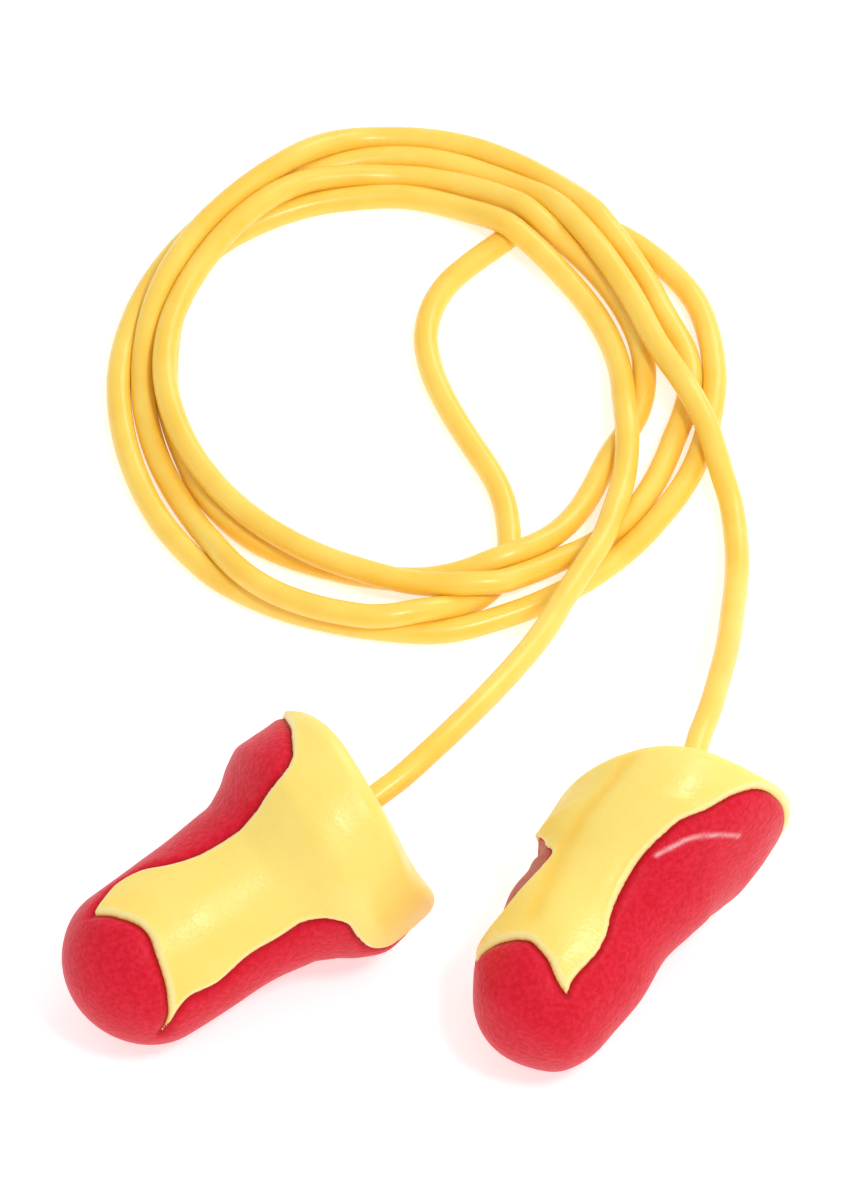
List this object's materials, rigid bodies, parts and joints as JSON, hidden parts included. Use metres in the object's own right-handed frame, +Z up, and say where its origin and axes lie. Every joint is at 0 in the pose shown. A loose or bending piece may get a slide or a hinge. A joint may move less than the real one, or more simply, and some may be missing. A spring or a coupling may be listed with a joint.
{
  "type": "corded foam ear plugs",
  "caption": "Pair of flared two-colour foam ear plugs joined by a thin soft cord that is loosely coiled beside them on a table.",
  "frame": {"origin": "on the table, under the middle of the box around the two plugs", "axes": "+X runs along the pair from the left plug to the right plug, +Y runs from the plugs to the coil, +Z is up"},
  "size_m": [0.0502, 0.082, 0.018],
  "materials": {
    "yellow_foam": "matt slow-recovery polyurethane foam with a fine moulded skin, pale yellow",
    "red_foam": "matt slow-recovery polyurethane foam with a fine moulded skin, red",
    "cord": "smooth soft PVC, golden yellow, slightly glossy",
    "glue": "clear set adhesive"
  },
  "bodies": {
    "cord": {"cord_coil": "cord", "cord_left_tail": "cord", "cord_inner_bight": "cord", "cord_right_tail": "cord"},
    "left_plug": {"left_plug_yellow_foam": "yellow_foam", "left_plug_red_foam": "red_foam", "left_cord_end": "cord", "left_glue_bead": "glue"},
    "right_plug": {"right_plug_yellow_foam": "yellow_foam", "right_plug_red_foam": "red_foam", "right_cord_end": "cord", "right_glue_bead": "glue"}
  },
  "joints": [
    {"name": "left_plug_swing", "type": "hinge", "parent": "cord", "child": "left_plug", "pos_m": [-0.00425, 0.00608, 0.0089], "axis": [0, 0, 1], "range_deg": [-45, 10]},
    {"name": "right_plug_swing", "type": "hinge", "parent": "cord", "child": "right_plug", "pos_m": [0.0173, 0.00569, 0.0094], "axis": [0, 0, 1], "range_deg": [-8, 30]}
  ]
}
